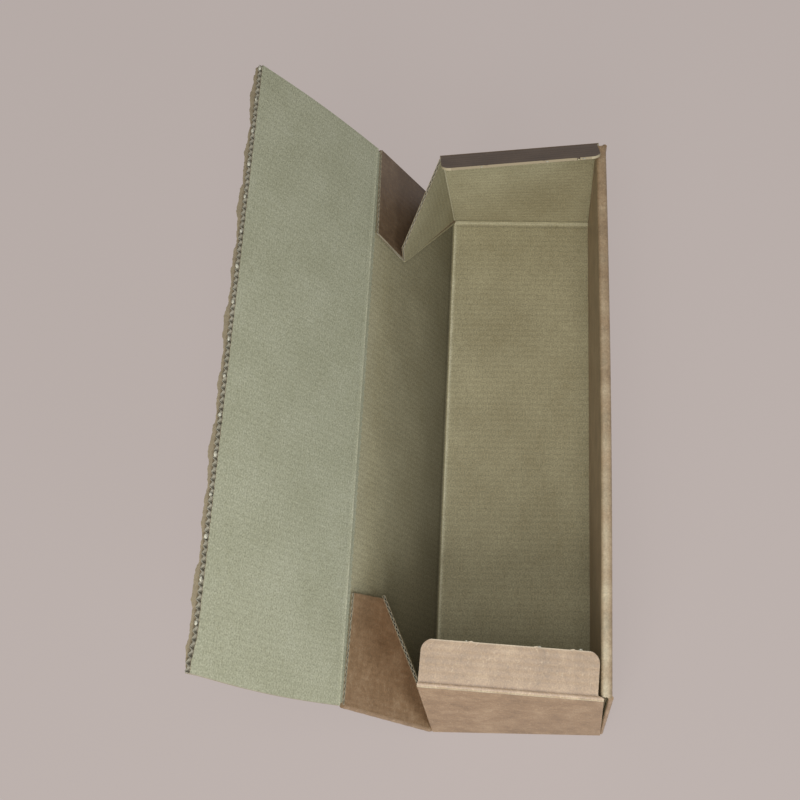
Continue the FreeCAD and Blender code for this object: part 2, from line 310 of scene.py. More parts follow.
class BoardMesh:
    """Gathers closed shells of board, worked out as whole arrays, into one mesh."""

    def __init__(self) -> None:
        """Starts with nothing in it."""
        self.points: list[Grid] = []
        self.faces: list[Grid] = []
        self.uvs: list[Grid] = []
        self.slots: list[Grid] = []
        self.painted_light: list[Grid] = []
        self.count = 0

    def _strip(self, top: Grid, low: Grid, place: Grid, depth: float, slot: int,
               flip: bool) -> None:
        """Quads between two rows of vertex numbers, with UVs along and through."""
        quads = np.stack([top[:-1], low[:-1], low[1:], top[1:]], axis=-1)
        here, there = place[:-1], place[1:]
        uv = np.stack([joined(here, depth), joined(here, 0.0), joined(there, 0.0),
                       joined(there, depth)], axis=1)
        self._add(quads, uv, slot, flip)

    def _add(self, quads: Grid, uv: Grid, slot: int, flip: bool) -> None:
        """Keeps faces, turned over where flip says so."""
        if flip:
            quads, uv = quads[:, ::-1], uv[:, ::-1]
        self.faces.append(quads)
        self.uvs.append(uv)
        self.slots.append(np.full(len(quads), slot))

    def shell(self, top: Grid, low: Grid, uv: Grid, slots: tuple[int, int],
              rims: tuple[int, int] = (Side.CUT, Side.WAVES),
              painted_light: tuple[Grid | float, Grid | float] = (0.0, 0.0)) -> None:
        """A closed shell between two grids that lie face to face.

        Args:
            top: (rows, columns, 3) points of one face.
            low: the same for the other face.
            uv: (rows, columns, 2) millimetres across and along the flutes.
            slots: material slots of the top and the low face.
            rims: slots of the rims at the first and last row, and at the other two.
            painted_light: painted light on the top and the low face, above 0 a painted
                highlight, below 0 painted shade.
        """
        rows, columns = top.shape[:2]
        self.painted_light += [(np.zeros((rows, columns)) + painted_shading).ravel() for painted_shading in painted_light]
        index = self.count + np.arange(rows * columns).reshape(rows, columns)
        under = index + rows * columns
        self.points += [top.reshape(-1, 3), low.reshape(-1, 3)]
        self.count += 2 * rows * columns
        cross = np.cross(np.gradient(top, axis=0), np.gradient(top, axis=1))
        flip = bool((cross * (top - low)).sum() < 0)
        corner = (np.s_[:-1, :-1], np.s_[1:, :-1], np.s_[1:, 1:], np.s_[:-1, 1:])
        face_uv = np.stack([uv[c] for c in corner], axis=2).reshape(-1, 4, 2)
        for grid, slot, turned in ((index, slots[0], flip), (under, slots[1], not flip)):
            quads = np.stack([grid[c] for c in corner], axis=-1).reshape(-1, 4)
            self._add(quads, face_uv, slot, turned)
        depth = float(np.linalg.norm(top - low, axis=-1).mean())
        self._strip(index[:, 0], under[:, 0], uv[:, 0, 1], depth, rims[1], flip)
        self._strip(index[:, -1], under[:, -1], uv[:, -1, 1], depth, rims[1], not flip)
        self._strip(index[0], under[0], uv[0, :, 0], depth, rims[0], not flip)
        self._strip(index[-1], under[-1], uv[-1, :, 0], depth, rims[0], flip)

    def tube(self, rings: Grid, around: Grid, along: Grid, slot: int,
             painted_light: float = 0.0) -> None:
        """A closed tube through rings of points, with a flat fan at both ends.

        Args:
            rings: (rings, points, 3), the points of each ring once round.
            around: millimetres round the ring for each point and the closing one.
            along: millimetres along the tube for each ring.
            slot: material slot.
            painted_light: painted light on it, above 0 a painted highlight, below 0
                painted shade.
        """
        count, points = rings.shape[:2]
        index = self.count + np.arange(count * points).reshape(count, points)
        self.points.append(rings.reshape(-1, 3))
        ends = np.stack([rings[0].mean(axis=0), rings[-1].mean(axis=0)])
        self.points.append(ends)
        self.painted_light.append(np.full(count * points + 2, painted_light))
        self.count += count * points + 2
        loop = np.concatenate([index, index[:, :1]], axis=1)
        grid_uv = np.stack(np.meshgrid(around, along), axis=-1)
        closed = np.concatenate([rings, rings[:, :1]], axis=1)
        cross = np.cross(np.gradient(closed, axis=0), np.gradient(closed, axis=1))
        flip = bool((cross * (closed - closed.mean(axis=1, keepdims=True))).sum() < 0)
        corner = (np.s_[:-1, :-1], np.s_[1:, :-1], np.s_[1:, 1:], np.s_[:-1, 1:])
        quads = np.stack([loop[c] for c in corner], axis=-1).reshape(-1, 4)
        uv = np.stack([grid_uv[c] for c in corner], axis=2).reshape(-1, 4, 2)
        self._add(quads, uv, slot, flip)
        for ring, middle, turned in ((loop[0], index[-1, -1] + 1, flip),
                                     (loop[-1], index[-1, -1] + 2, not flip)):
            fan = np.stack([np.full(points, middle), ring[1:], ring[:-1]], axis=-1)
            fan = fan[:, ::-1] if turned else fan
            self.faces.append(fan)
            self.uvs.append(np.zeros((points, 3, 2)))
            self.slots.append(np.full(points, slot))

    def finish(self, name: str, body: Body, materials: Papers,
               ride: bool = True) -> Piece:
        """Makes the object, dresses it and lets it ride on its body.

        Args:
            name: the piece's name.
            body: the part of the sheet that it belongs to.
            materials: one for each Side.
            ride: whether it rides on its body.

        Returns:
            The finished piece, at the origin, unturned and unscaled.
        """
        mesh = bpy.data.meshes.new(name)
        points = np.concatenate(self.points) / 1000.0
        sizes = np.concatenate([np.full(len(f), f.shape[1]) for f in self.faces])
        corners = np.concatenate([f.reshape(-1) for f in self.faces])
        uvs = np.concatenate([u.reshape(-1, 2) for u in self.uvs]) / 1000.0
        starts = np.concatenate([[0], np.cumsum(sizes)[:-1]])
        mesh.vertices.add(len(points))
        mesh.vertices.foreach_set("co", points.astype(np.float32).ravel())
        mesh.loops.add(len(corners))
        mesh.loops.foreach_set("vertex_index", corners.astype(np.int32))
        mesh.polygons.add(len(sizes))
        mesh.polygons.foreach_set("loop_start", starts.astype(np.int32))
        mesh.polygons.foreach_set("loop_total", sizes.astype(np.int32))
        mesh.polygons.foreach_set(
            "material_index", np.concatenate(self.slots).astype(np.int32))
        mesh.update(calc_edges=True)
        layer = mesh.uv_layers.new(name="board")
        shifted = uvs + PAPER_STARTS.get(name, 0.0) * np.array([1.0, 0.37]) / 1000.0
        layer.data.foreach_set("uv", shifted.astype(np.float32).ravel())
        # Painted light kept on each point: above 0 a painted highlight, below 0 painted
        # shade.
        painted_shading = mesh.attributes.new("painted_light", "FLOAT", "POINT")
        painted_shading.data.foreach_set("value", np.concatenate(self.painted_light).astype(np.float32))
        # The lid's inner face takes the lit copy of the liner.
        inner = materials[-1] if body is Body.LID else materials[Side.INNER]
        for material in [inner] + materials[1:-1]:
            mesh.materials.append(material)
        mesh.validate()
        mesh.shade_smooth()
        mesh.set_sharp_from_angle(angle=math.radians(38))
        piece = place(name, mesh)
        if ride:
            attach(piece, body.value[0])
        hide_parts(body.value[0])
        LOG.info("%s: %d faces on %s", name, len(sizes), body.value[0])
        return piece


# Painted shade: how dark the layers are painted where little light gets in, as painted
# light below zero.
UNDER_FACING = -0.6
TORN_LIP = -0.58
IN_FLUTES = -0.55


def washboard(across: Grid, height: float, box: BoxSizes) -> Grid:
    """The flutes that show through a facing: height times the cosine once a flute."""
    return height * np.cos(2 * math.pi * across / box.flute_pitch)


def add_board(mesh: BoardMesh, mid: Grid, towards: Grid, uv: Grid, box: BoxSizes,
              inner_rise: Grid | float = 0.0, outer_rise: Grid | float = 0.0,
              show: float = 0.05, thickness: float | None = None,
              rims: tuple[int, int] = (Side.CUT, Side.WAVES),
              slots: tuple[int, int] = (Side.INNER, Side.OUTER),
              painted_light: tuple[Grid | float, Grid | float] = (0.0, 0.0)) -> None:
    """Plain board: two faces half a board away from the middle, joined at the rims.

    Args:
        mesh: where it goes.
        mid: (rows, columns, 3) middle of the board.
        towards: direction of the inner facing.
        uv: (rows, columns, 2) millimetres across and along the flutes.
        box: sizes.
        inner_rise: extra height of the inner face.
        outer_rise: extra height of the outer face.
        show: how much the flutes show through.
        thickness: board thickness where it isn't the whole board.
        rims: slots of the rims.
        slots: slots of the two faces.
        painted_light: painted light on the inner and the outer face.
    """
    half = (thickness or box.board) / 2
    normal = surface_normals(mid, towards)
    waves = washboard(uv[..., 0], show, box)
    inner = mid + normal * (half + waves + inner_rise)[..., None]
    outer = mid - normal * (half - waves + outer_rise)[..., None]
    mesh.shell(inner, outer, uv, slots, rims, painted_light)


def add_corrugated(mesh: BoardMesh, mid: Grid, normal: Grid, uv: Grid, box: BoxSizes,
                   faces: tuple[int, int], outer_reach: Grid | None = None,
                   rise: Grid | float = 0.0, crushed_rows: int = 0,
                   painted_light: Grid | float = 0.0, medium_reach: float = 0.0,
                   show: float = 0.03, spread: Grid | None = None,
                   medium_edge: int = Side.MEDIUM) -> None:
    """Board in its three layers: two facings and the fluted medium between them.

    The medium's height is a sine of the distance across the flutes, a flute pitch
    long, that touches both facings.

    Args:
        mesh: where it goes.
        mid: (rows along the flutes, columns across them, 3) middle of the board.
        normal: (3,) or grid of unit normals towards the first facing.
        uv: (rows, columns, 2) millimetres across and along the flutes.
        box: sizes.
        faces: slots of the first and the second facing.
        outer_reach: (columns, 3) how far the second facing runs past the last row.
        rise: extra height of the first facing.
        crushed_rows: rows at the start where the medium is pressed flat.
        painted_light: painted light on the first facing.
        medium_reach: how far the medium runs past the last row.
        show: how much the flutes show through.
        spread: (rows,) how far the second facing has come away from the first.
        medium_edge: slot of the medium's cut edge.
    """
    half, facing = box.half, box.facing
    apart = np.zeros(len(mid)) if spread is None else spread
    waves = washboard(uv[..., 0], show, box)
    top = mid + normal * (half + waves + rise)[..., None]
    # The facing's underside, the back of the lower facing and the medium are painted
    # dark: painted shade inside the board.
    mesh.shell(top, top - normal * facing, uv, (faces[0], Side.MEDIUM),
               painted_light=(painted_light, UNDER_FACING))
    low = mid - normal * (half + apart[:, None] - waves)[..., None]
    back = low + normal * facing
    low_uv = uv
    if outer_reach is not None:
        steps = np.array([0.25, 0.5, 0.75, 0.92, 1.0])[:, None, None]
        low = np.concatenate([low, low[-1:] + outer_reach * steps])
        thin = np.linspace(0.85, 0.3, 5)[:, None, None] * facing
        back = np.concatenate([back, low[-5:] + normal * thin])
        reach = np.linalg.norm(outer_reach, axis=-1)
        extra = joined(uv[-1:, :, 0], uv[-1:, :, 1] + reach * steps[..., 0])
        low_uv = np.concatenate([uv, extra])
    mesh.shell(low, back, low_uv, (faces[1], Side.CUT), (Side.CUT, Side.CUT),
               painted_light=(0.0, TORN_LIP))
    kept = mid[crushed_rows:] - normal * (apart[crushed_rows:, None, None] / 2)
    if medium_reach:
        kept = np.concatenate([kept[:-1], kept[-1:] + medium_reach * unit(
            kept[-1:] - kept[-2:-1])])
    crest = half - facing - box.medium_half + apart[crushed_rows:, None] / 2
    height = crest * np.sin(2 * math.pi * uv[crushed_rows:, :, 0] / box.flute_pitch)
    middle = kept + normal * height[..., None]
    tilt = surface_normals(middle, normal) * box.medium_half
    mesh.shell(middle + tilt, middle - tilt, uv[crushed_rows:],
               (Side.MEDIUM, Side.MEDIUM), (medium_edge, Side.MEDIUM),
               (IN_FLUTES, IN_FLUTES))


def rod_rings(start: Grid, end: Grid, radii: Grid, points: int, side: Grid,
              squeeze: float = 1.0) -> tuple[Grid, Grid, Grid]:
    """Rings of a straight bead whose radius changes along it.

    Args:
        start: middle of the first ring.
        end: middle of the last ring.
        radii: radius of each ring.
        points: points in a ring.
        side: direction of the first point.
        squeeze: share of the radius across the side direction.

    Returns:
        The rings, millimetres round them, and millimetres along them.
    """
    along = unit(end - start)
    first = unit(side - along * (side * along).sum())
    second = np.cross(along, first)
    angle = np.linspace(0, 2 * math.pi, points, endpoint=False)[None, :, None]
    share = np.linspace(0, 1, len(radii))[:, None, None]
    middle = start + (end - start) * share
    rings = middle + radii[:, None, None] * (
        np.cos(angle) * first + squeeze * np.sin(angle) * second)
    around = np.linspace(0, 2 * math.pi, points + 1) * float(radii.mean())
    return rings, around, share[:, 0, 0] * float(np.linalg.norm(end - start))


def add_tufts(mesh: BoardMesh, centres: Grid, axes: tuple[Grid, Grid, Grid],
              sizes: tuple[float, float, float], seed: int) -> None:
    """Torn tufts of paper: balls drawn out along an edge and roughened.

    The radius is one plus a sum of sines of the ball's two angles.

    Args:
        mesh: where they go.
        centres: (tufts, 3) middles.
        axes: directions along the edge, out of it and through the board.
        sizes: half sizes in those directions.
        seed: start of the random draws.
    """
    rng = np.random.default_rng(seed)
    polar = np.linspace(0.12, math.pi - 0.12, 9)[:, None]
    turn = np.linspace(0, 2 * math.pi, 16, endpoint=False)[None, :]
    for centre in centres:
        phase = rng.uniform(0, 6, 3)
        size = rng.uniform(0.75, 1.2, 3) * np.array(sizes)
        rough = 1 + 0.2 * np.sin(5 * turn + phase[0]) * np.sin(polar * 3 + phase[1])
        rough = rough + 0.1 * np.sin(9 * turn + phase[2])
        local = (np.cos(polar) * size[0] * np.ones_like(turn),
                 rough * np.sin(polar) * np.cos(turn) * size[1],
                 rough * np.sin(polar) * np.sin(turn) * size[2])
        rings = centre + sum(axis * part[..., None] for axis, part in zip(axes, local))
        mesh.tube(rings, np.linspace(0, 4, 17), np.linspace(0, 3, 9), Side.TORN)


# ---------------------------------------------------------------- finishes


def linear(hex_colour: str) -> tuple[float, float, float, float]:
    """An sRGB hex colour as linear RGBA."""
    parts = np.array([int(hex_colour[i:i + 2], 16) for i in (1, 3, 5)]) / 255.0
    value = np.where(parts <= 0.04045, parts / 12.92, ((parts + 0.055) / 1.055) ** 2.4)
    return (float(value[0]), float(value[1]), float(value[2]), 1.0)


def empty_tree(block: bpy.types.Material | bpy.types.World) -> Tree:
    """The node tree of a material or world, with nothing in it."""
    block.use_nodes = True
    block.node_tree.nodes.clear()
    return block.node_tree


def add_node(tree: Tree, kind: str, settings: dict | None = None,
             links: dict | None = None) -> bpy.types.Node:
    """Adds a shader node.

    Args:
        tree: node tree.
        kind: node type without the ShaderNode prefix.
        settings: attribute names, or input names or numbers, and their values.
        links: input names or numbers, and the output socket that feeds each.

    Returns:
        The new node.
    """
    node = tree.nodes.new("ShaderNode" + kind)
    for key, value in (settings or {}).items():
        if isinstance(key, str) and hasattr(node, key):
            setattr(node, key, value)
        else:
            node.inputs[key].default_value = value
    for key, socket in (links or {}).items():
        tree.links.new(socket, node.inputs[key])
    return node


def maths(tree: Tree, operation: str, *values: float | Socket,
          clamp: bool = False) -> Socket:
    """The result of a maths node on numbers or sockets."""
    numbers = {i: v for i, v in enumerate(values) if isinstance(v, (int, float))}
    links = {i: v for i, v in enumerate(values) if i not in numbers}
    settings = {"operation": operation, "use_clamp": clamp, **numbers}
    return add_node(tree, "Math", settings, links).outputs[0]


def remap(tree: Tree, value: Socket, start: float, stop: float, low: float = 0.0,
          high: float = 1.0) -> Socket:
    """A value that runs from low to high while the given one runs from start to stop."""
    return add_node(tree, "MapRange", {
        "From Min": start, "From Max": stop, "To Min": low, "To Max": high},
        {"Value": value}).outputs[0]


def noise(tree: Tree, points: Socket, scale: float, detail: float, roughness: float,
          distortion: float = 0.0) -> Socket:
    """Noise of the given scale per millimetre, between 0 and 1."""
    return add_node(tree, "TexNoise", {
        "Scale": scale, "Detail": detail, "Roughness": roughness,
        "Distortion": distortion}, {"Vector": points}).outputs["Fac"]


def board_places(tree: Tree, pitch_mm: float, wave: str) -> tuple[Socket, ...]:
    """The UV in metres and in millimetres, its second part, and a wave across it.

    Args:
        tree: node tree.
        pitch_mm: millimetres of a flute.
        wave: SINE or COSINE.

    Returns:
        UV, millimetres, millimetres along the flutes, and the wave.
    """
    uv = add_node(tree, "UVMap", {"uv_map": "board"}).outputs[0]
    flat = add_node(tree, "Mapping", {"Scale": MM_PER_METRE}, {0: uv}).outputs[0]
    split = add_node(tree, "SeparateXYZ", {}, {0: flat})
    phase = maths(tree, "MULTIPLY", split.outputs[0], 2 * math.pi / pitch_mm)
    return uv, flat, split.outputs[1], maths(tree, wave, phase)


@dataclass(frozen=True)
class PaperFinish:
    """A paper facing of corrugated board: recycled fibre, matt, with flutes showing.

    Fibres are drawn as long blotches across the flutes, the way the paper machine lays
    them. They are really 1 to 3 mm long and 0.03 mm thin, too fine to show, so they
    are drawn about ten times as thick.
    """

    name: str
    base: str
    dark: str
    pale: str
    fleck: str
    # Colour that painted highlights go towards.
    highlight_colour: str = "#CBC6AA"
    mottle: float = 0.5
    fleck_share: float = 0.30
    # Painted shade along the flutes, as a share of the colour.
    flute_shade: float = 0.07
    speckle: float = 0.16
    speckle_mm: float = 0.9
    cloud_mm: float = 34.0
    mottle_mm: float = 3.2
    fibre_mm: float = 1.1
    roughness: float = 0.72
    specular: float = 0.35
    bump_mm: float = 0.05
    pitch_mm: float = 3.6
    fibre_scale: tuple[float, float, float] = (620.0, 1500.0, 1000.0)
    fleck_scale: float = 0.62
    cloud_share: float = 0.55
    roughness_play: float = 0.07
    # How far painted highlights go towards their colour, and how dark the deepest painted
    # shade is.
    highlight_mix: float = 0.75
    darkest: float = 0.4

    def build(self) -> bpy.types.Material:
        """Makes the material from its own UV map, which is in metres of board."""
        material = bpy.data.materials.new(self.name)
        tree = empty_tree(material)
        uv, flat, _, wave = board_places(tree, self.pitch_mm, "COSINE")
        drawn = add_node(tree, "Mapping", {"Scale": self.fibre_scale}, {0: uv}).outputs[0]
        speckle = noise(tree, flat, 1 / self.speckle_mm, 2.0, 0.6)
        cloud = noise(tree, flat, 1 / self.cloud_mm, 3.0, 0.55)
        mottle = noise(tree, flat, 1 / self.mottle_mm, 6.0, 0.62, 0.4)
        fibre = noise(tree, drawn, 1 / self.fibre_mm, 4.0, 0.7)
        flecks = noise(tree, drawn, self.fleck_scale, 2.0, 0.5, 1.2)
        colour = self._colour(tree, mottle, cloud, flecks)
        colour = self._lit_and_shaded(tree, colour, speckle, wave)
        height = maths(tree, "MULTIPLY_ADD", fibre, 0.5, mottle)
        relief = add_node(tree, "Bump", {
            "Strength": 0.6, "Distance": self.bump_mm / 1000.0}, {"Height": height})
        rough = remap(tree, mottle, 0.0, 1.0, self.roughness - self.roughness_play,
                      self.roughness + self.roughness_play)
        shader = add_node(tree, "BsdfPrincipled", {
            "Specular IOR Level": self.specular}, {
                "Base Color": colour, "Roughness": rough, "Normal": relief.outputs[0]})
        add_node(tree, "OutputMaterial", {}, {0: shader.outputs[0]})
        return material

    def _colour(self, tree: Tree, mottle: Socket, cloud: Socket,
                flecks: Socket) -> Socket:
        """Clean paper: dark, base and pale fibre by the mottle, with pale flecks."""
        blotch = maths(tree, "MULTIPLY_ADD", cloud, self.cloud_share, 0.0)
        blend = maths(tree, "MULTIPLY_ADD", mottle, 1 - self.cloud_share, blotch)
        reach = 0.16 / max(self.mottle, 0.05)
        ramp = add_node(tree, "ValToRGB", {}, {
            0: remap(tree, blend, 0.5 - reach, 0.5 + reach)})
        ramp.color_ramp.elements[0].color = linear(self.dark)
        ramp.color_ramp.elements[1].color = linear(self.pale)
        ramp.color_ramp.elements.new(0.5).color = linear(self.base)
        share = remap(tree, flecks, 0.60, 0.72, 0.0, self.fleck_share)
        return add_node(tree, "Mix", {"data_type": "RGBA", 7: linear(self.fleck)}, {
            0: share, 6: ramp.outputs["Color"]}).outputs[2]

    def _lit_and_shaded(self, tree: Tree, clean: Socket, speckle: Socket,
              wave: Socket) -> Socket:
        """The paper with its speckle, painted shade along the flutes, and the painted
        highlights and shade of its painted light.
        """
        grain = remap(tree, speckle, 0.3, 0.7, 1 - self.speckle, 1 + self.speckle)
        # Painted shade along the flutes, on top of the speckle.
        flute_shaded = maths(tree, "MULTIPLY_ADD", wave, self.flute_shade / 2, grain)
        painted_light = add_node(tree, "Attribute", {"attribute_name": "painted_light"}).outputs["Fac"]
        # Painted highlight where the painted light is above 0, painted shade where it is
        # below.
        pale = remap(tree, painted_light, 0.0, 1.0, 0.0, self.highlight_mix)
        highlighted = add_node(tree, "Mix", {"data_type": "RGBA", 7: linear(self.highlight_colour)}, {
            0: pale, 6: clean})
        shade = maths(tree, "MULTIPLY", flute_shaded,
                      remap(tree, painted_light, -1.0, 0.0, self.darkest, 1.0))
        return add_node(tree, "VectorMath", {"operation": "SCALE"}, {
            0: highlighted.outputs[2], "Scale": shade}).outputs[0]


@dataclass(frozen=True)
class CutEdgeFinish:
    """A knife-cut edge of the board: pale paper ends, with the flutes as a wave and
    painted shade in the open flutes.

    The UV runs along the edge and through the board, so the wave is drawn from
    the flute pitch and the thickness of the board.
    """

    name: str
    paper: str
    # Colour of the open flutes between the paper ends: painted shade.
    hollow_shade: str
    show_waves: bool
    pitch_mm: float = 3.6
    board_mm: float = 1.5
    facing_mm: float = 0.3
    wave_mm: float = 0.42
    crushed_fill: float = 0.62
    bump_mm: float = 0.1

    def build(self) -> bpy.types.Material:
        """Makes the material from its own UV map, which is in metres of board."""
        material = bpy.data.materials.new(self.name)
        tree = empty_tree(material)
        _, flat, through, wave = board_places(tree, self.pitch_mm, "SINE")
        fuzz = noise(tree, flat, 1.3, 4.0, 0.7)
        half = self.board_mm / 2
        middle = maths(tree, "MULTIPLY_ADD", wave, self.wave_mm, half)
        away = maths(tree, "ABSOLUTE", maths(tree, "SUBTRACT", through, middle))
        line = remap(tree, away, 0.12, 0.3, 1.0, 0.0)
        outward = maths(tree, "ABSOLUTE", maths(tree, "SUBTRACT", through, half))
        liner = remap(tree, outward, half - self.facing_mm - 0.12,
                      half - self.facing_mm + 0.03)
        fill = maths(tree, "MULTIPLY_ADD", fuzz, 0.5,
                     0.0 if self.show_waves else self.crushed_fill)
        amount = maths(tree, "MAXIMUM", maths(tree, "MAXIMUM", line, liner), fill,
                       clamp=True)
        mixed = add_node(tree, "Mix", {
            "data_type": "RGBA", 6: linear(self.hollow_shade), 7: linear(self.paper)},
            {0: amount})
        colour = add_node(tree, "VectorMath", {"operation": "SCALE"}, {
            0: mixed.outputs[2], "Scale": remap(tree, fuzz, 0.3, 0.7, 0.82, 1.08)})
        relief = add_node(tree, "Bump", {
            "Strength": 0.7, "Distance": self.bump_mm / 1000.0}, {"Height": fuzz})
        shader = add_node(tree, "BsdfPrincipled", {
            "Roughness": 0.85, "Specular IOR Level": 0.2}, {
                "Base Color": colour.outputs[0], "Normal": relief.outputs[0]})
        add_node(tree, "OutputMaterial", {}, {0: shader.outputs[0]})
        return material


@dataclass(frozen=True)
class BoardFinishes:
    """The papers that the sheet is made of, one for each slot of a board mesh."""

    # Test liner: recycled paper, a dull grey-green from its mixed pulp, matt and full of
    # small brown and pale specks. It lines the inside of the box, painted darker than the
    # lid's copy as painted shade inside the tray.
    inner: PaperFinish = PaperFinish(
        "test_liner_grey_green", "#989174", "#847B5C", "#ACA586", "#6E6448",
        flute_shade=0.08, speckle=0.27, bump_mm=0.08)
    # Kraft liner: long brown softwood fibre, smoother and slightly glossy outside.
    outer: PaperFinish = PaperFinish(
        "kraft_liner_brown", "#8B7053", "#70583E", "#A2896C", "#BDAA8E",
        mottle=0.8, flute_shade=0.05, speckle=0.2, roughness=0.46, specular=0.85,
        cloud_mm=16.0)
    # Die-cut edge: the paper ends are pale and fuzzy where the knife went through.
    cut: CutEdgeFinish = CutEdgeFinish("die_cut_edge", "#958870", "#70634C", False)
    # On the flute ends the open flutes are painted dark: painted shade.
    waves: CutEdgeFinish = CutEdgeFinish("die_cut_flute_ends", "#A89C82", "#3C3326", True)
    # Fluting medium: thin recycled paper between the facings, a duller brown.
    medium: PaperFinish = PaperFinish(
        "fluting_medium", "#A39D8B", "#8C8672", "#B7B1A0", "#7C745E",
        flute_shade=0.0, roughness=0.85, specular=0.2)
    # Torn bridges of the die cut: loose white fibre.
    torn: PaperFinish = PaperFinish(
        "torn_paper_fibre", "#B9B6A6", "#9D9A88", "#CFCDBF", "#8F8A74",
        flute_shade=0.0, mottle_mm=0.8, roughness=0.9, specular=0.15, bump_mm=0.2)
    # The same liner on the lid, painted lighter and greyer than the tray's copy: painted
    # light for the cool glare on the lid.
    lid_inner_lit: PaperFinish = PaperFinish(
        "test_liner_lit_copy", "#A2A28A", "#929278", "#B1B19B", "#79745A",
        flute_shade=0.03, speckle=0.28, bump_mm=0.07)

    def build(self) -> Papers:
        """One material for each Side, in its order, and the lid's lit copy of the liner
        last.
        """
        return [f.build() for f in (
            self.inner, self.outer, self.cut, self.waves, self.medium, self.torn,
            self.lid_inner_lit)]


# ---------------------------------------------------------------- the sheet


def hinge_line(box: BoxSizes) -> Grid:
    """Middle of the board at the lid's crease, at Y zero."""
    up, inward = lean_axes(box.side_lean)
    return np.array([box.left, 0, 0]) + up * box.height + inward * box.half


@dataclass
class EndFrame:
    """Corner points and directions of one end wall."""

    end: EndSizes
    box: BoxSizes
    top_left: Grid = field(init=False)
    top_right: Grid = field(init=False)
    along: Grid = field(init=False)
    left_normal: Grid = field(init=False)
    right_normal: Grid = field(init=False)

    def __post_init__(self) -> None:
        """Works the corners out from the leans, each edge a wall height long."""
        end, box, y = self.end, self.box, self.end.y(self.box)
        left_z = math.sqrt(box.height ** 2 - end.left_in ** 2 - end.left_out ** 2)
        right_z = math.sqrt(box.height ** 2 - end.right_in ** 2 - end.right_tuck ** 2)
        self.top_left = np.array([
            box.left - end.left_out, y + end.sign * end.left_in, left_z])
        self.top_right = np.array([
            box.right - end.right_tuck, y + end.sign * end.right_in, right_z])
        self.along = unit(self.top_right - self.top_left)
        normals = []
        for top, x in ((self.top_left, box.left), (self.top_right, box.right)):
            normal = unit(np.cross(self.along, top - np.array([x, y, 0.0])))
            normals.append(normal if normal[1] * end.sign > 0 else -normal)
        self.left_normal, self.right_normal = normals


